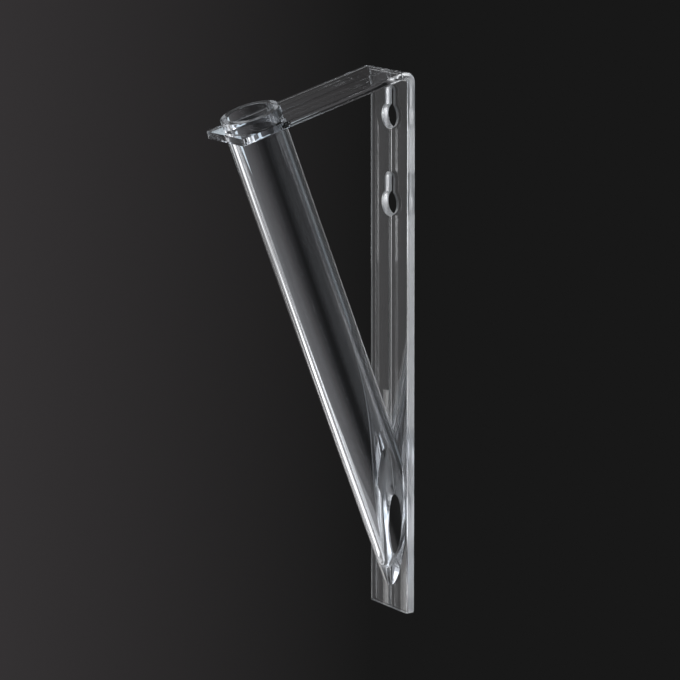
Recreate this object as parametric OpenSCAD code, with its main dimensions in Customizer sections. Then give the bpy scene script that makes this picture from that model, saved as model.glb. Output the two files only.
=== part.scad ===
// Wall-mounted flower holder in clear plastic: a bent wall strip and a leaning flower tube.
// Origin at the upper keyhole, on the wall plane. X runs across, -Y out of the wall, +Z up.

/* [Wall strip] */
// Width of the strip, on the wall plate and on the arm alike
strip_w = 34.5; // [33:0.5:44]
// Thickness of the strip
strip_t = 3.8; // [3:0.1:5]
// Radius of the two rounded edges on the strip's room side
edge_r = 1.3; // [0.6:0.1:1.8]
// Height of the wall plate, up to the top of the bend
plate_h = 277; // [255:1:320]
// Inside radius of the bend between the wall plate and the arm
bend_r = 1.8; // [1:0.1:4]
// Fall of the arm towards its free end, in degrees
arm_slope = 15.5; // [8:0.5:20]
// Width of strip left in front of the tube at the arm's free end
arm_lip = 2.2; // [1.5:0.1:12]
// Radius of the two corners at the foot of the wall plate
foot_corner_r = 1.6; // [0.5:0.1:4]
// Radius of the two corners at the arm's free end
arm_corner_r = 0.8; // [0.4:0.1:3]

/* [Witness lines] */
// Width of the groove along the centre of the strip's wall side
back_groove_w = 0.9; // [0.4:0.1:1.6]
// Depth of the groove along the centre of the strip's wall side
back_groove_d = 0.25; // [0.1:0.05:0.5]
// Width of the groove along the centre of the strip's room side
front_groove_w = 0.6; // [0.3:0.1:1.2]
// Depth of the groove along the centre of the strip's room side
front_groove_d = 0.15; // [0.05:0.05:0.4]

/* [Keyholes] */
// Radius of a keyhole's round part, which passes the screw's head
keyhole_r = 6.2; // [4.5:0.1:7]
// Width of a keyhole's slot, which takes the screw's shank
slot_w = 6.4; // [3.5:0.1:7]
// Rise from the centre of a keyhole's round part to the top of its slot
slot_rise = 15.3; // [11:0.1:16]
// Distance between the two keyholes
keyhole_pitch = 44; // [36:1:80]
// Distance from the top of the bend down to the centre of the upper keyhole
keyhole_drop = 23.5; // [23:0.5:34]
// Width of the bevel round each keyhole on the room side
keyhole_bevel = 0.5; // [0.2:0.1:0.9]

/* [Flower tube] */
// Outside diameter of the tube
tube_od = 30; // [24:0.5:31]
// Wall of the tube
tube_wall = 3.5; // [2:0.1:5]
// Lean of the tube out of the wall, in degrees from upright
tube_lean = 21.3; // [16:0.1:26]
// Height above the plate's foot at which the tube's axis meets the strip
foot_h = 53; // [50:1:70]
// Rise of the centre of the tube's rim above the arm, square to the arm
rim_h = 6; // [4:0.1:15]
// Fall of the tube's rim towards the room, in degrees
rim_slope = 18; // [12:0.5:24]
// Cement gap between the tube and the collar hole in the arm
collar_gap = 0.05; // [0.02:0.01:0.15]

/* [Foot opening] */
// Width of the oval opening that leads from the tube's foot through the wall plate
foot_hole_w = 11.6; // [6:0.2:13]
// Thickness of the straight land that the opening's flare leaves at the wall side
foot_hole_land = 0.6; // [0.4:0.1:1.2]

/* [Hidden] */
$fn = 96;
over = 1;
arc_steps = 6;
flare_steps = 72;
skin = 0.01;
clear_grey = [0.86, 0.90, 0.93, 0.45];

bend_or = bend_r + strip_t;
half_w = strip_w / 2;
flat_half = half_w - edge_r;
tube_r = tube_od / 2;
bore_r = tube_r - tube_wall;

plate_top = keyhole_drop;
plate_foot = plate_top - plate_h;
bend_z = plate_top - bend_or;
tube_foot_z = plate_foot + foot_h;

// The arm's upper face, as a point where the bend ends and a slope
arm_y0 = -bend_or - bend_or * sin(arm_slope);
arm_z0 = bend_z + bend_or * cos(arm_slope);
// Length along the tube's axis from the strip to the arm's upper face
reach_to_arm = (arm_z0 - tube_foot_z - (strip_t + arm_y0) * tan(arm_slope))
    / (cos(tube_lean) + sin(tube_lean) * tan(arm_slope));
crossing_y = -strip_t - reach_to_arm * sin(tube_lean);
off_square = tube_lean - arm_slope;
// Lengths along the arm from the end of the bend
arm_to_tube = (arm_y0 - crossing_y) / cos(arm_slope);
arm_l = arm_to_tube + tube_r / cos(off_square) + arm_lip;
rim_along = reach_to_arm + rim_h / cos(off_square);
tube_stock = rim_along + tube_r / tan(tube_lean) + tube_od;

foot_hole_r = foot_hole_w / 2;
// Narrowing of the flare's radius for each millimetre of depth into the plate
flare_fall = (bore_r - foot_hole_r) / (strip_t - foot_hole_land);
// Length along the tube's axis from where it meets the strip to the end of a cut clear of the plate
foot_hole_front = foot_hole_r / tan(tube_lean) + over / sin(tube_lean);
foot_hole_back = foot_hole_front + strip_t / sin(tube_lean);

// Points of one rounded edge, from the side face to the room-side face
function edge_points(side) = [for (k = [0:arc_steps]) let (a = 90 * k / arc_steps)
    [side * (flat_half + edge_r * cos(a)), strip_t - edge_r + edge_r * sin(a)]];

function reversed(list) = [for (k = [len(list) - 1:-1:0]) list[k]];

// Outline of the strip, seen along it: across in x, depth from the wall side in y
strip_outline = concat(
    [[-half_w, 0], [-back_groove_w / 2, 0], [0, back_groove_d], [back_groove_w / 2, 0], [half_w, 0]],
    edge_points(1),
    [[front_groove_w / 2, strip_t], [0, strip_t - front_groove_d], [-front_groove_w / 2, strip_t]],
    reversed(edge_points(-1)));

// The strip's outline placed at its radius from the centre of the bend
module strip_section() {
    polygon([for (p = strip_outline) [p[0], bend_or - p[1]]]);
}

// The same outline turned for the bend, with the radius first
module bend_section() {
    polygon([for (p = strip_outline) [bend_or - p[1], p[0]]]);
}

// Moves what is drawn round the bend's centre line to its place
module at_bend() {
    translate([0, -bend_or, bend_z])
        children();
}

// The bent strip before any hole is cut
module bent_strip() {
    at_bend() {
        translate([0, 0, plate_foot - bend_z])
            linear_extrude(bend_z - plate_foot)
                strip_section();
        rotate([90, 0, 90])
            rotate_extrude(angle = 90 + arm_slope)
                bend_section();
        rotate([90 + arm_slope, 0, 0])
            linear_extrude(arm_l)
                strip_section();
    }
}

// Waste outside a rounded corner of radius r, whose corner point is the origin
module corner_waste(r) {
    difference() {
        translate([-over, -over, -over])
            cube([r + over, r + over, strip_t + 2 * over]);
        translate([r, r, -2 * over])
            cylinder(r = r, h = strip_t + 4 * over);
    }
}

// Waste at the two corners of an end that lies on the plane z = 0, looking along the strip
module end_waste(r) {
    for (side = [0, 1])
        mirror([side, 0, 0])
            translate([-half_w, bend_or, 0])
                rotate([90, 0, 0])
                    corner_waste(r);
}

// Cutter of one keyhole, with its round part centred on the Y axis
module keyhole_cutter() {
    slot_r = slot_w / 2;
    slot_z = slot_rise - slot_r;
    wide = keyhole_bevel + over;
    rotate([90, 0, 0]) {
        translate([0, 0, -over]) {
            cylinder(r = keyhole_r, h = strip_t + 2 * over);
            translate([0, slot_z, 0])
                cylinder(r = slot_r, h = strip_t + 2 * over);
            translate([-slot_r, 0, 0])
                cube([slot_w, slot_z, strip_t + 2 * over]);
        }
        translate([0, 0, strip_t - keyhole_bevel]) {
            cylinder(r1 = keyhole_r, r2 = keyhole_r + wide, h = wide);
            translate([0, slot_z, 0])
                cylinder(r1 = slot_r, r2 = slot_r + wide, h = wide);
            rotate([-90, 0, 0])
                mirror([0, 1, 0])
                    linear_extrude(slot_z)
                        polygon([[-slot_r, 0], [slot_r, 0], [slot_r + wide, wide],
                                 [-slot_r - wide, wide]]);
        }
    }
}

// Places what is drawn along +Z on the tube's axis, from the point where it meets the strip
module on_tube_axis() {
    translate([0, -strip_t, tube_foot_z])
        rotate([tube_lean, 0, 0])
            children();
}

// Outline of the opening's flare at a depth below the plate's room side, centred on the tube's axis
module flare_outline(depth) {
    radius = bore_r - flare_fall * depth;
    translate([0, depth - strip_t, tube_foot_z - depth / tan(tube_lean)])
        rotate([90, 0, 0])
            linear_extrude(skin)
                polygon([for (k = [1:flare_steps]) let (a = 360 * k / flare_steps)
                    [radius * cos(a), radius * sin(a) / sin(tube_lean)]]);
}

// Cutter of the foot opening: round along the tube's axis, and flared from the edge of the tube's bore
module foot_hole_cutter() {
    on_tube_axis()
        translate([0, 0, -foot_hole_back])
            cylinder(r = foot_hole_r, h = foot_hole_back + foot_hole_front);
    hull() {
        flare_outline(-over);
        flare_outline(strip_t - foot_hole_land / 2);
    }
}

// Everything behind the strip's room-side face, against which the tube's foot is mitred
module behind_face() {
    translate([-tube_od, -strip_t, plate_foot - tube_od])
        cube([2 * tube_od, tube_stock, plate_h + 2 * tube_od]);
}

// Everything above the tube's rim
module above_rim() {
    on_tube_axis()
        translate([0, 0, rim_along])
            rotate([rim_slope - tube_lean, 0, 0])
                translate([-tube_od, -tube_od, 0])
                    cube([2 * tube_od, 2 * tube_od, tube_stock]);
}

// Wall plate, bend and arm in one piece, with two keyholes, the collar hole and the foot opening
module wall_strip() {
    color(clear_grey)
        difference() {
            bent_strip();
            keyhole_cutter();
            translate([0, 0, -keyhole_pitch])
                keyhole_cutter();
            foot_hole_cutter();
            on_tube_axis()
                translate([0, 0, reach_to_arm - tube_od])
                    cylinder(r = tube_r + collar_gap, h = 2 * tube_od);
            at_bend() {
                translate([0, 0, plate_foot - bend_z])
                    end_waste(foot_corner_r);
                rotate([90 + arm_slope, 0, 0])
                    translate([0, 0, arm_l])
                        mirror([0, 0, 1])
                            end_waste(arm_corner_r);
            }
        }
}

// Tube that holds the stems, mitred to the strip at its foot, with its rim above the arm
module flower_tube() {
    color(clear_grey)
        difference() {
            on_tube_axis()
                translate([0, 0, rim_along + tube_od - tube_stock])
                    difference() {
                        cylinder(r = tube_r, h = tube_stock);
                        translate([0, 0, -over])
                            cylinder(r = bore_r, h = tube_stock + 2 * over);
                    }
            behind_face();
            above_rim();
        }
}

wall_strip();
flower_tube();
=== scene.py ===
from math import cos, pi, radians, sin, tan

import bmesh
import bpy
import numpy as np
from mathutils import Matrix, Vector


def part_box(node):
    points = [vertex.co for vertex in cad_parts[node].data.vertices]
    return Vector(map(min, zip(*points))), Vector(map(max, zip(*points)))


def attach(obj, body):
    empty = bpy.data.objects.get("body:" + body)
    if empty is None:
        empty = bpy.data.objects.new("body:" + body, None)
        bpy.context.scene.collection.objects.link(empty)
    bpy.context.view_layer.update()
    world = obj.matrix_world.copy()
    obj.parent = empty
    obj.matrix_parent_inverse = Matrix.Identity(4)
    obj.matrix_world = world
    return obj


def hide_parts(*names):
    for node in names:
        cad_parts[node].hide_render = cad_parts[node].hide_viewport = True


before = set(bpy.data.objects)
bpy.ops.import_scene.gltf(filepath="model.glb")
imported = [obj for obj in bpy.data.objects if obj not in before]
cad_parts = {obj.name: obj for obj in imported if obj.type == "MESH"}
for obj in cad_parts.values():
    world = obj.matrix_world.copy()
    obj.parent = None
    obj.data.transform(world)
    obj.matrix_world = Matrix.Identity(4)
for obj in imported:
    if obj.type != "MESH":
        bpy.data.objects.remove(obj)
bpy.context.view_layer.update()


# Wall strip
# One strip of clear acrylic with two rounded edges on its room side and a fine line along the middle
# of both faces, bent once with heat into wall plate and arm. Two keyholes for wall screws and a
# flared foot opening are cut in the plate, and a slanting hole for the tube in the arm.
MM = 0.001
strip_low, strip_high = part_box("wall_strip")
strip_w = strip_high.x - strip_low.x
strip_t = 3.8 * MM
edge_r = 1.3 * MM
bend_r = 1.8 * MM
arm_slope = radians(15.5)
arm_lip = 2.2 * MM
foot_corner_r = 1.6 * MM
arm_corner_r = 0.8 * MM
back_groove_w = 0.9 * MM
back_groove_d = 0.25 * MM
front_groove_w = 0.6 * MM
front_groove_d = 0.15 * MM

keyhole_r = 6.2 * MM
slot_w = 6.4 * MM
slot_rise = 15.3 * MM
keyhole_pitch = 44 * MM
keyhole_bevel = 0.5 * MM
foot_hole_r = 5.8 * MM
foot_hole_land = 0.6 * MM
foot_hole_ease = 0.5 * MM

# The tube's size and place, which the hole in the arm and the foot opening follow
tube_r = 15 * MM
tube_wall = 3.5 * MM
tube_lean = radians(21.3)
foot_h = 53 * MM
cement_bite = 0.02 * MM

half_w = strip_w / 2
bend_or = bend_r + strip_t
bend_z = strip_high.z - bend_or
bend_turn = pi / 2 + arm_slope
plate_foot = strip_low.z
tube_foot_z = plate_foot + foot_h
bore_r = tube_r - tube_wall
off_square = tube_lean - arm_slope

# The arm's upper face starts at this point, where the bend ends. The tube's axis meets that face at
# the reach from the plate's room side, and there it is as far out as the crossing.
arm_y0 = -bend_or - bend_or * sin(arm_slope)
arm_z0 = bend_z + bend_or * cos(arm_slope)
reach_to_arm = ((arm_z0 - tube_foot_z - (strip_t + arm_y0) * tan(arm_slope))
                / (cos(tube_lean) + sin(tube_lean) * tan(arm_slope)))
crossing_y = -strip_t - reach_to_arm * sin(tube_lean)
arm_l = (arm_y0 - crossing_y) / cos(arm_slope) + tube_r / cos(off_square) + arm_lip

edge_steps = 10
corner_steps = 8
bend_steps = 48
round_steps = 128
ease_steps = 10
same_point = 1e-7
sharp_angle = radians(25)
large_face_weight = 100


def strip_outline():
    """Points of the strip's section as (across, depth), with depth from the wall side: a rectangle
    with a V groove in the middle of each face and a quarter circle at each room-side edge."""
    turn = np.linspace(0, pi / 2, edge_steps + 1)
    edge = np.stack([half_w - edge_r + edge_r * np.cos(turn),
                     strip_t - edge_r + edge_r * np.sin(turn)], -1)
    wall_side = [(-half_w, 0), (-back_groove_w / 2, 0), (0, back_groove_d),
                 (back_groove_w / 2, 0), (half_w, 0)]
    room_side = [(front_groove_w / 2, strip_t), (0, strip_t - front_groove_d),
                 (-front_groove_w / 2, strip_t)]
    return np.concatenate([wall_side, edge, room_side, edge[::-1] * (-1, 1)])


def strip_stations():
    """Stations along the strip, as rows of turn, place along and half width: up the plate, round
    the bend and out along the arm. Near an end with corners of radius r, at r(1 - cos a) from the
    end the strip is narrower by r(1 - sin a) on each side."""
    corner = np.linspace(0, pi / 2, corner_steps + 1)
    from_end = 1 - np.cos(corner)
    narrower = 1 - np.sin(corner)
    turn = np.linspace(0, bend_turn, bend_steps + 1)
    foot = np.stack([0 * corner, plate_foot - bend_z + foot_corner_r * from_end,
                     half_w - foot_corner_r * narrower])
    bend = np.stack([turn, 0 * turn, half_w + 0 * turn])
    end = np.stack([bend_turn + 0 * corner, arm_l - arm_corner_r * from_end,
                    half_w - arm_corner_r * narrower])
    return np.concatenate([foot, bend, end[:, ::-1]], axis=1)


def bent_strip():
    """The outline carried through the stations. A point at depth d and turn t lies at the radius
    (bend's outside radius - d) from the bend's centre line, moved on by its place along."""
    outline = strip_outline()[None, :, :]
    turn, along, reach = strip_stations()[:, :, None]
    across = np.clip(outline[..., 0], -reach, reach)
    radius = bend_or - outline[..., 1]
    y = -bend_or + radius * np.cos(turn) - along * np.sin(turn)
    z = bend_z + radius * np.sin(turn) + along * np.cos(turn)
    return np.stack([across, y, z], -1)


def on_tube_axis(x, y, along):
    """Places points given round the tube's axis, and along it from the strip's room side."""
    return np.stack(np.broadcast_arrays(
        x, -strip_t + y * cos(tube_lean) - along * sin(tube_lean),
        tube_foot_z + y * sin(tube_lean) + along * cos(tube_lean)), -1)


def mesh_piece(name, points, faces):
    """A mesh object at the origin, with its place in its points."""
    mesh = bpy.data.meshes.new(name)
    mesh.from_pydata(points.reshape(-1, 3).tolist(), [], faces)
    mesh.update()
    made = bpy.data.objects.new(name, mesh)
    bpy.context.scene.collection.objects.link(made)
    return made


def grid_faces(rows, columns, close_rows=False):
    """Four-sided faces of a grid of points. Each row closes on itself, and with close_rows the last
    row also joins the first."""
    row = np.arange(rows if close_rows else rows - 1)[:, None]
    column = np.arange(columns)[None, :]
    next_row = (row + 1) % rows
    next_column = (column + 1) % columns
    corners = [row * columns + column, row * columns + next_column,
               next_row * columns + next_column, next_row * columns + column]
    return np.stack(corners, -1).reshape(-1, 4).tolist()


def bar(name, points):
    """A closed bar. Each row of the points goes once round it, and a flat face fills each end."""
    rows, columns = points.shape[:2]
    last = (rows - 1) * columns
    ends = [list(range(columns))[::-1], list(range(last, last + columns))]
    return mesh_piece(name, points, grid_faces(rows, columns) + ends)


def keyhole_outline(grow):
    """Points (x, z) round a keyhole that is grown outwards by grow: the large arc of the round
    part, then the slot's half circle."""
    big = keyhole_r + grow
    small = slot_w / 2 + grow
    rise = slot_rise - slot_w / 2
    neck = np.arcsin(small / big)
    large = np.linspace(pi / 2 + neck, 5 * pi / 2 - neck, round_steps)
    top = np.linspace(0, pi, round_steps // 2)
    return np.concatenate([
        np.stack([big * np.cos(large), big * np.sin(large)], -1),
        np.stack([small * np.cos(top), rise + small * np.sin(top)], -1)])


def keyhole_cutter(name, centre_z):
    """A keyhole through the plate, straight as far as its bevel and widening at 45 degrees from
    there on."""
    over = strip_t
    depths = [-over, strip_t - keyhole_bevel, strip_t + over]
    grows = [0, 0, keyhole_bevel + over]
    return bar(name, np.stack([
        np.insert(keyhole_outline(grow) + (0, centre_z), 1, -depth, axis=1)
        for depth, grow in zip(depths, grows)]))


def collar_cutter(name):
    """A round bar along the tube's axis, through the arm. It is thinner than the tube by the bite
    that stands for the cement."""
    radius = tube_r - cement_bite
    turn = np.linspace(0, 2 * pi, 2 * round_steps, endpoint=False)[None, :]
    along = reach_to_arm + 2 * tube_r * np.array([[-1], [1]])
    return bar(name, on_tube_axis(radius * np.cos(turn), radius * np.sin(turn), along))


def foot_opening_cutter(name):
    """The opening at the tube's foot, as ovals parallel to the plate whose centres lie on the
    tube's axis. The radius falls evenly from the tube's bore to the land at the wall side. The
    corner there is eased by e to each side: for t from 0 to 1, the depth is the land's less
    e(1 - 2 t), and the radius is over its least by the fall times e(1 - t) squared."""
    over = strip_t
    land = strip_t - foot_hole_land
    fall = (bore_r - foot_hole_r) / land
    ease = np.linspace(0, 1, ease_steps + 1)
    depth = np.concatenate([[-over], land - foot_hole_ease * (1 - 2 * ease),
                            [strip_t + over]])[:, None]
    radius = np.concatenate([[bore_r + fall * over],
                             foot_hole_r + fall * foot_hole_ease * (1 - ease) ** 2,
                             [foot_hole_r]])[:, None]
    turn = np.linspace(0, 2 * pi, 2 * round_steps, endpoint=False)[None, :]
    z = tube_foot_z - depth / tan(tube_lean) + radius * np.sin(turn) / sin(tube_lean)
    return bar(name, np.stack(np.broadcast_arrays(radius * np.cos(turn), depth - strip_t, z), -1))


def tidy_mesh(piece):
    """Merges doubled points and turns the faces outwards."""
    work = bmesh.new()
    work.from_mesh(piece.data)
    bmesh.ops.remove_doubles(work, verts=work.verts, dist=same_point)
    bmesh.ops.recalc_face_normals(work, faces=work.faces)
    work.to_mesh(piece.data)
    work.free()


def cut(piece, cutters):
    """Takes the cutters out of the piece by exact Booleans, and removes them."""
    tidy_mesh(piece)
    for cutter in cutters:
        tidy_mesh(cutter)
        taken = piece.modifiers.new(cutter.name, "BOOLEAN")
        taken.operation = "DIFFERENCE"
        taken.solver = "EXACT"
        taken.object = cutter
    depsgraph = bpy.context.evaluated_depsgraph_get()
    depsgraph.update()
    mesh = bpy.data.meshes.new_from_object(piece.evaluated_get(depsgraph))
    piece.modifiers.clear()
    piece.data = mesh
    for cutter in cutters:
        bpy.data.objects.remove(cutter)
    tidy_mesh(piece)


def smooth_curves(piece):
    """Shades round stretches smoothly, and keeps edges over the sharp angle. A point's direction
    follows its largest faces, so that flat faces stay flat."""
    piece.data.polygons.foreach_set("use_smooth", [True] * len(piece.data.polygons))
    piece.data.set_sharp_from_angle(angle=sharp_angle)
    even = piece.modifiers.new("even normals", "WEIGHTED_NORMAL")
    even.keep_sharp = True
    even.weight = large_face_weight


class Value:
    """A socket that carries a number. Sums, differences, products and absolute values of it add
    their Math nodes."""

    def __init__(self, finish, socket):
        self.finish = finish
        self.socket = socket

    def math(self, operation, *given):
        """The result of a Math node on the given numbers and values."""
        made = self.finish.node("ShaderNodeMath", {"operation": operation}, dict(enumerate(given)))
        return Value(self.finish, made.outputs[0])

    def __add__(self, other):
        return self.math("ADD", self, other)

    def __radd__(self, other):
        return self.math("ADD", other, self)

    def __sub__(self, other):
        return self.math("SUBTRACT", self, other)

    def __rsub__(self, other):
        return self.math("SUBTRACT", other, self)

    def __mul__(self, other):
        return self.math("MULTIPLY", self, other)

    def __rmul__(self, other):
        return self.math("MULTIPLY", other, self)

    def __abs__(self):
        return self.math("ABSOLUTE", self)


class Finish:
    """The nodes of a material or of the world."""

    def __init__(self, owner):
        owner.use_nodes = True
        self.tree = owner.node_tree
        self.tree.nodes.clear()

    def node(self, kind, settings=None, inputs=None):
        """Adds a node, with its settings first and then what its sockets are given: a plain number,
        colour or vector, or a value or socket to link."""
        made = self.tree.nodes.new(kind)
        for name, setting in (settings or {}).items():
            setattr(made, name, setting)
        for name, given in (inputs or {}).items():
            if isinstance(given, Value):
                given = given.socket
            if isinstance(given, bpy.types.NodeSocket):
                self.tree.links.new(given, made.inputs[name])
            else:
                made.inputs[name].default_value = given
        return made

    def value(self, kind, output, settings=None, inputs=None):
        """Adds a node, and hands on one of its outputs as a value."""
        return Value(self, self.node(kind, settings, inputs).outputs[output])

    def noise(self, place, cells, detail):
        """Noise from 0 to 1 at a place, with so many cells to the metre along X, Y and Z."""
        counted = self.node("ShaderNodeMapping", None, {"Vector": place, "Scale": cells})
        return self.value("ShaderNodeTexNoise", "Fac", None, {
            "Vector": counted.outputs[0], "Scale": 1, "Detail": detail})


# The acrylic's finish. Its roughness is haze times the clouds, and satin times the cut on top.
clear_index = 1.49
clear_tint = (0.955, 0.975, 1, 1)
smoky_tint = (0.93, 0.95, 0.985, 1)
cloud_cells = (30, 30, 30)
cloud_detail = 4
haze = 0.02
satin = 0.4
frosting = 0.3
frost_white = (0.86, 0.9, 0.95, 1)
frost_roughness = 0.6


def clear_plastic(name, relief):
    """Clear acrylic. Its haze and tint follow slow clouds, and its faces rise by the height that
    relief works out from their place. Where the piece's attribute "cut" rises to 1, the surface
    turns from polished to satin, and by the square of it a white frosting shows."""
    material = bpy.data.materials.new(name)
    finish = Finish(material)
    place = finish.node("ShaderNodeTexCoord").outputs["Object"]
    clouds = finish.noise(place, cloud_cells, cloud_detail)
    cut_face = finish.value("ShaderNodeAttribute", "Fac", {"attribute_name": "cut"})
    uneven = finish.node("ShaderNodeBump", None, {
        "Height": relief(finish, place), "Distance": 1, "Strength": 1})
    tint = finish.node("ShaderNodeMix", {"data_type": "RGBA"}, {0: clouds, 6: smoky_tint, 7: clear_tint})
    plastic = finish.node("ShaderNodeBsdfPrincipled", None, {
        "Base Color": tint.outputs[2], "Roughness": clouds * haze + cut_face * satin,
        "Normal": uneven.outputs[0], "IOR": clear_index, "Transmission Weight": 1})
    frost = finish.node("ShaderNodeBsdfPrincipled", None, {
        "Base Color": frost_white, "Roughness": frost_roughness, "IOR": clear_index})
    skin = finish.node("ShaderNodeMixShader", None, {
        "Fac": cut_face * cut_face * frosting, 1: plastic.outputs[0], 2: frost.outputs[0]})
    finish.node("ShaderNodeOutputMaterial", None, {"Surface": skin.outputs[0]})
    return material


# Streaks and waves run lengthwise, so they have few cells along the strip and many across
strip_streak_cells = (900, 4, 4)
strip_wave_cells = (60, 8, 8)
streak_detail = 3
wave_detail = 1
strip_streak_rise = 0.0015 * MM
strip_wave_rise = 0.01 * MM
crown_rise = 0.3 * MM
# Distances from the bend's centre line at which the crown starts and is full
crown_start = 8 * MM
crown_full = 25 * MM


def strip_relief(finish, place):
    """Fine streaks, slow waves and on each half of the strip a faint crown: 4 u (1 - u) times its
    rise, where u runs from the middle to the edge. Near the bend the crown fades out."""
    streaks = finish.noise(place, strip_streak_cells, streak_detail)
    waves = finish.noise(place, strip_wave_cells, wave_detail)
    parts = finish.node("ShaderNodeSeparateXYZ", None, {"Vector": place})
    share = abs(Value(finish, parts.outputs["X"])) * (1 / half_w)
    lengthwise = finish.node("ShaderNodeVectorMath", {"operation": "MULTIPLY"}, {
        0: place, 1: (0, 1, 1)})
    off_bend = finish.value("ShaderNodeVectorMath", "Value", {"operation": "DISTANCE"}, {
        0: lengthwise.outputs[0], 1: (0, -bend_or, bend_z)})
    straight = finish.value("ShaderNodeMapRange", "Result", None, {
        "Value": off_bend, "From Min": crown_start, "From Max": crown_full})
    crown = share * (1 - share) * straight * (4 * crown_rise)
    return streaks * strip_streak_rise + waves * strip_wave_rise + crown


def of_faces(piece, what):
    """The middle ("center") or the direction ("normal") of every face, as rows of x, y and z."""
    values = np.empty(len(piece.data.polygons) * 3)
    piece.data.polygons.foreach_get(what, values)
    return values.reshape(-1, 3).T


def mark_cut_faces(piece, share):
    """Stores how far each face is left satin by saw or cutter, as the attribute "cut". On the strip,
    the share's fade along the arm's long edges is painted shade.
    """
    piece.data.attributes.new("cut", "FLOAT", "FACE").data.foreach_set("value", share)


edge_cut = 0.95
wall_cut = 1.0
flare_cut = 0.5
# A face of the plate belongs to the flare or to a keyhole's wall if it looks out of the wall by
# less than these shares
flare_looks_out = 0.98
wall_looks_out = 0.8


def strip_cut_share():
    """The plate's long edges are satin by their turn towards the side, less and less past the
    middle of the bend, and the arm's are left polished: that fade is painted shade on the arm's
    sides. The walls of the keyholes are satin all over, and the foot opening's flare by half."""
    x, y, z = of_faces(clear_strip, "center")
    across, out = np.abs(of_faces(clear_strip, "normal")[:2])
    at_edge = np.abs(x) > half_w - edge_r
    # Past the middle of the bend the satin and its white frosting fade out, as painted shade on the
    # arm's edges
    arm_edge_shade = (z > bend_z) * np.clip((z - bend_z - y - bend_or) / bend_or, 0, 1)
    edge = at_edge * (y > -2 * bend_or) * across * (1 - arm_edge_shade)
    on_plate = (z < bend_z) & (y > -strip_t - MM) & ~at_edge
    near_foot = np.abs(z - tube_foot_z) < bore_r / sin(tube_lean) + strip_t
    wall = on_plate & ~near_foot & (out < wall_looks_out)
    flare = on_plate & near_foot & (out < flare_looks_out) & (np.abs(x) > front_groove_w)
    return edge * edge_cut + wall * wall_cut + flare * flare_cut


clear_strip = bar("clear_wall_strip", bent_strip())
cut(clear_strip, [keyhole_cutter("upper_keyhole", 0), keyhole_cutter("lower_keyhole", -keyhole_pitch),
                  collar_cutter("collar_hole"), foot_opening_cutter("foot_opening")])
smooth_curves(clear_strip)
clear_strip.data.materials.append(clear_plastic("clear strip", strip_relief))
mark_cut_faces(clear_strip, strip_cut_share())
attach(clear_strip, "root")
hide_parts("wall_strip")


# Flower tube
# A length of clear acrylic tube. Its foot is cut to a long mitre and cemented to the plate, it
# passes through the arm's hole, and its rim is sawn off with a fall towards the room.
rim_h = 6 * MM
rim_slope = radians(18)
rim_round = 0.35 * MM
rim_along = reach_to_arm + rim_h / cos(off_square)
foot_bite = 0.05 * MM
wall_steps = 24
rim_steps = 6
turn_steps = 384
tube_streak_cells = (900, 900, 4)
tube_streak_rise = 0.0006 * MM
rim_cut = 0.55
rim_looks_up = 0.9


def tube_shell():
    """Points on a grid of turns round the axis and places round the wall's section: up the
    outside, over the rim and down the bore, evenly spaced from the mitre to the rim. Along the
    axis the mitre lies at (y cos L - bite) / sin L, for a lean L, and the rim rises with y by the
    tangent of its tilt. Its edges are rounded by r(1 - cos a) inwards and r(1 - sin a) down."""
    arc = np.linspace(0, pi / 2, rim_steps + 1)
    share = np.linspace(0, 1, wall_steps)
    rise = np.concatenate([share, np.ones(2 * rim_steps), share[::-1]])[:, None]
    inset = rim_round * (1 - np.cos(arc[1:]))
    drop_in = rim_round * (1 - np.sin(arc[1:]))
    radius = np.concatenate([np.full(wall_steps, tube_r), tube_r - inset,
                             bore_r + inset[::-1], np.full(wall_steps, bore_r)])[:, None]
    drop = np.concatenate([np.full(wall_steps, rim_round), drop_in,
                           drop_in[::-1], np.full(wall_steps, rim_round)])[:, None]
    turn = np.linspace(0, 2 * pi, turn_steps, endpoint=False)[None, :]
    y = radius * np.sin(turn)
    rim = rim_along + y * tan(rim_slope - tube_lean) - drop
    foot = (y * cos(tube_lean) - foot_bite) / sin(tube_lean)
    return on_tube_axis(radius * np.cos(turn), y, foot + (rim - foot) * rise)


def tube_relief(finish, place):
    """Fine streaks along the tube, whose lean is taken out of the place first."""
    upright = finish.node("ShaderNodeMapping", None, {"Vector": place, "Rotation": (-tube_lean, 0, 0)})
    return finish.noise(upright.outputs[0], tube_streak_cells, streak_detail) * tube_streak_rise


def tube_cut_share():
    """The sawn rim is satin by about half. Its faces look along its own direction, which leans from
    upright by the rim's slope, towards the room."""
    out, rise = of_faces(clear_tube, "normal")[1:]
    return rim_cut * (rise * cos(rim_slope) - out * sin(rim_slope) > rim_looks_up)


tube_points = tube_shell()
clear_tube = mesh_piece("clear_flower_tube", tube_points,
                        grid_faces(*tube_points.shape[:2], close_rows=True))
tidy_mesh(clear_tube)
smooth_curves(clear_tube)
clear_tube.data.materials.append(clear_plastic("clear tube", tube_relief))
mark_cut_faces(clear_tube, tube_cut_share())
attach(clear_tube, "root")
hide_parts("flower_tube")


# Floor
# A round of plain pale floor below the holder, out of the photograph's view. From above, the plastic
# shows the floor. At the photograph's low angle it shows the dark backdrop in the floor's place.
floor_r = 1
floor_drop = 0.37
floor_steps = 96
floor_grey = (0.8, 0.8, 0.8, 1)
floor_roughness = 0.6
# How low a ray is, as 1 less the cosine of its angle from upright, where the floor starts to open
# for it, and where it is quite open
low_ray_start = 0.22
low_ray_full = 0.42


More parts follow.
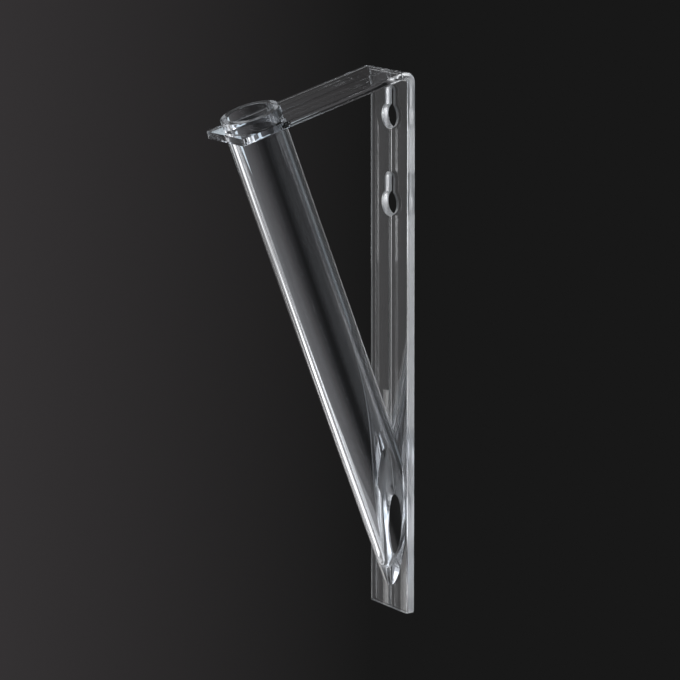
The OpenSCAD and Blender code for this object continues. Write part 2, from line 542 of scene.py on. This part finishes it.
def pale_floor():
    """A matt grey that turns clear for low rays which come from the plastic."""
    material = bpy.data.materials.new("pale floor")
    finish = Finish(material)
    matt = finish.node("ShaderNodeBsdfPrincipled", None, {
        "Base Color": floor_grey, "Roughness": floor_roughness})
    light_path = finish.node("ShaderNodeLightPath")
    glossy_ray = Value(finish, light_path.outputs["Is Glossy Ray"])
    from_plastic = glossy_ray.math("MAXIMUM", glossy_ray, light_path.outputs["Is Transmission Ray"])
    turned_away = finish.node("ShaderNodeLayerWeight", None, {"Blend": 0.5}).outputs["Facing"]
    low_ray = finish.value("ShaderNodeMapRange", "Result", None, {
        "Value": turned_away, "From Min": low_ray_start, "From Max": low_ray_full})
    clear = finish.node("ShaderNodeBsdfTransparent")
    mixed = finish.node("ShaderNodeMixShader", None, {
        "Fac": from_plastic * low_ray, 1: matt.outputs[0], 2: clear.outputs[0]})
    finish.node("ShaderNodeOutputMaterial", None, {"Surface": mixed.outputs[0]})
    return material


floor_turn = np.linspace(0, 2 * pi, floor_steps, endpoint=False)
floor_ring = np.stack(np.broadcast_arrays(
    floor_r * np.cos(floor_turn), floor_r * np.sin(floor_turn), plate_foot - floor_drop), -1)
floor = mesh_piece("floor", floor_ring, [list(range(floor_steps))])
floor.data.materials.append(pale_floor())


# Camera
# It stands to the right of the holder and a little above it, as the photograph's did, and looks
# through a long lens. The place and the turn come from edges measured in the photograph.
camera_azimuth = radians(57.119)
camera_elevation = radians(11.489)
camera_roll = radians(-0.131)
camera_aim = Vector((0, 0, -0.1195))
camera_away = 1.808889
camera_aside = -0.027877
camera_lift = 0.004889
camera_lens = 189.52
camera_sensor = 36

back = Vector((sin(camera_azimuth) * cos(camera_elevation),
               -cos(camera_azimuth) * cos(camera_elevation),
               sin(camera_elevation)))
right = Vector((cos(camera_azimuth), sin(camera_azimuth), 0))
up = back.cross(right)
camera_place = camera_aim + back * camera_away + right * camera_aside + up * camera_lift
rolled_right = right * cos(camera_roll) + up * sin(camera_roll)
rolled_up = up * cos(camera_roll) - right * sin(camera_roll)
camera_turn = Matrix((rolled_right, rolled_up, back)).transposed().to_4x4()

camera = bpy.data.objects.new("camera", bpy.data.cameras.new("camera"))
camera.data.sensor_width = camera_sensor
camera.data.lens = camera_lens
camera.matrix_world = Matrix.Translation(camera_place) @ camera_turn
bpy.context.scene.collection.objects.link(camera)
bpy.context.scene.camera = camera


# Studio light
# A dark studio with a broad soft glow from the left and a faint one from the right. Fifteen soft
# boxes stand to the left of the holder and behind it, where its clear edges catch them, two stand
# on the right and one hangs above. Some of them are a little colder than the rest.
light_middle = Vector((0, -0.03, -0.12))
box_away = 0.8
white = (1, 1, 1)
cold = (0.84, 0.94, 1)
# Name, degrees round the middle from the camera to the right, rise over the middle, side, glow of
# its face, colour
soft_boxes = [
    ("low_box_1", -145, -0.45, 0.24, 1.1, white),
    ("low_box_2", -155, -0.45, 0.24, 0.45, white),
    ("low_box_3", -165, -0.45, 0.24, 0.14, white),
    ("knee_box_1", -145, -0.3, 0.24, 0.3, white),
    ("knee_box_2", -135, -0.3, 0.24, 0.3, white),
    ("knee_box_3", -105, -0.3, 0.2, 1.4, white),
    ("knee_box_4", -95, -0.3, 0.2, 0.8, cold),
    ("waist_box_1", -135, -0.15, 0.24, 0.6, white),
    ("waist_box_2", -95, -0.15, 0.2, 0.24, white),
    ("waist_box_3", -85, -0.15, 0.2, 1.2, white),
    ("level_box_1", -155, 0, 0.2, 0.9, cold),
    ("level_box_2", -135, 0, 0.2, 1.7, white),
    ("high_box_1", -165, 0.15, 0.24, 0.9, cold),
    ("high_box_2", -135, 0.15, 0.24, 1.5, white),
    ("high_box_3", -125, 0.15, 0.2, 2.2, white),
    ("right_box_1", 130, 0.15, 0.3, 0.12, cold),
    ("right_box_2", 90, -0.15, 0.3, 0.25, white),
    ("top_box", 30, 0.75, 0.35, 1.8, cold)]

# The backdrop's colour at the frame's left edge, and from its end on, a little right of the middle.
# Its darkening towards the right is painted shade.
backdrop_left = (0.034, 0.0313, 0.0325, 1)
backdrop_right = (0.0091, 0.0091, 0.0091, 1)
frame_edge = camera_sensor / camera_lens / 2
backdrop_end = 0.009
left_glow = 0.3
right_glow = 0.036
soft_white = (1, 1, 1, 1)
soft_level = 0.6
# How many walls of plastic a ray may cross, and how often it may be reflected
clear_crossings = 24
clear_reflections = 16


def soft_box(name, around, rise, side, glow, colour):
    """A square lamp that faces the middle. Its power is pi times its area times its glow."""
    light = bpy.data.lights.new(name, "AREA")
    light.shape = "SQUARE"
    light.size = side
    light.color = colour
    light.energy = pi * side ** 2 * glow
    lamp = bpy.data.objects.new(name, light)
    azimuth = camera_azimuth + radians(around)
    lamp.location = light_middle + Vector((box_away * sin(azimuth), -box_away * cos(azimuth), rise))
    lamp.rotation_euler = (light_middle - lamp.location).to_track_quat("-Z", "Y").to_euler()
    lamp.visible_camera = False
    bpy.context.scene.collection.objects.link(lamp)


def dark_backdrop():
    """What rays see that meet nothing. The camera sees the backdrop, whose colour runs evenly from
    left to right, darker to the right as painted shade. The plastic sees it too, and over it a glow
    that grows with how far the ray goes to the left or the right, times that side's strength. Matt
    faces get one soft white."""
    world = bpy.data.worlds.new("backdrop")
    sky = Finish(world)
    direction = sky.node("ShaderNodeTexCoord").outputs["Generated"]
    aside = sky.value("ShaderNodeVectorMath", "Value", {"operation": "DOT_PRODUCT"}, {
        0: direction, 1: tuple(right)})
    share = sky.value("ShaderNodeMapRange", "Result", None, {
        "Value": aside, "From Min": -frame_edge, "From Max": backdrop_end})
    dark = sky.node("ShaderNodeMix", {"data_type": "RGBA"}, {
        0: share, 6: backdrop_left, 7: backdrop_right})
    glow = (abs(aside) - aside) * (left_glow / 2) + (abs(aside) + aside) * (right_glow / 2)
    ray = sky.node("ShaderNodeLightPath")
    camera_ray = Value(sky, ray.outputs["Is Camera Ray"])
    unseen = sky.node("ShaderNodeBackground", None, {"Color": glow * (1 - camera_ray), "Strength": 1})
    seen = sky.node("ShaderNodeBackground", None, {"Color": dark.outputs[2], "Strength": 1})
    both = sky.node("ShaderNodeAddShader", None, {0: seen.outputs[0], 1: unseen.outputs[0]})
    soft = sky.node("ShaderNodeBackground", None, {"Color": soft_white, "Strength": soft_level})
    mixed = sky.node("ShaderNodeMixShader", None, {
        "Fac": ray.outputs["Is Diffuse Ray"], 1: both.outputs[0], 2: soft.outputs[0]})
    sky.node("ShaderNodeOutputWorld", None, {"Surface": mixed.outputs[0]})
    return world


for box in soft_boxes:
    soft_box(*box)
bpy.context.scene.world = dark_backdrop()
bpy.context.scene.cycles.max_bounces = clear_crossings
bpy.context.scene.cycles.transmission_bounces = clear_crossings
bpy.context.scene.cycles.glossy_bounces = clear_reflections
bpy.context.scene.view_settings.view_transform = "Standard"
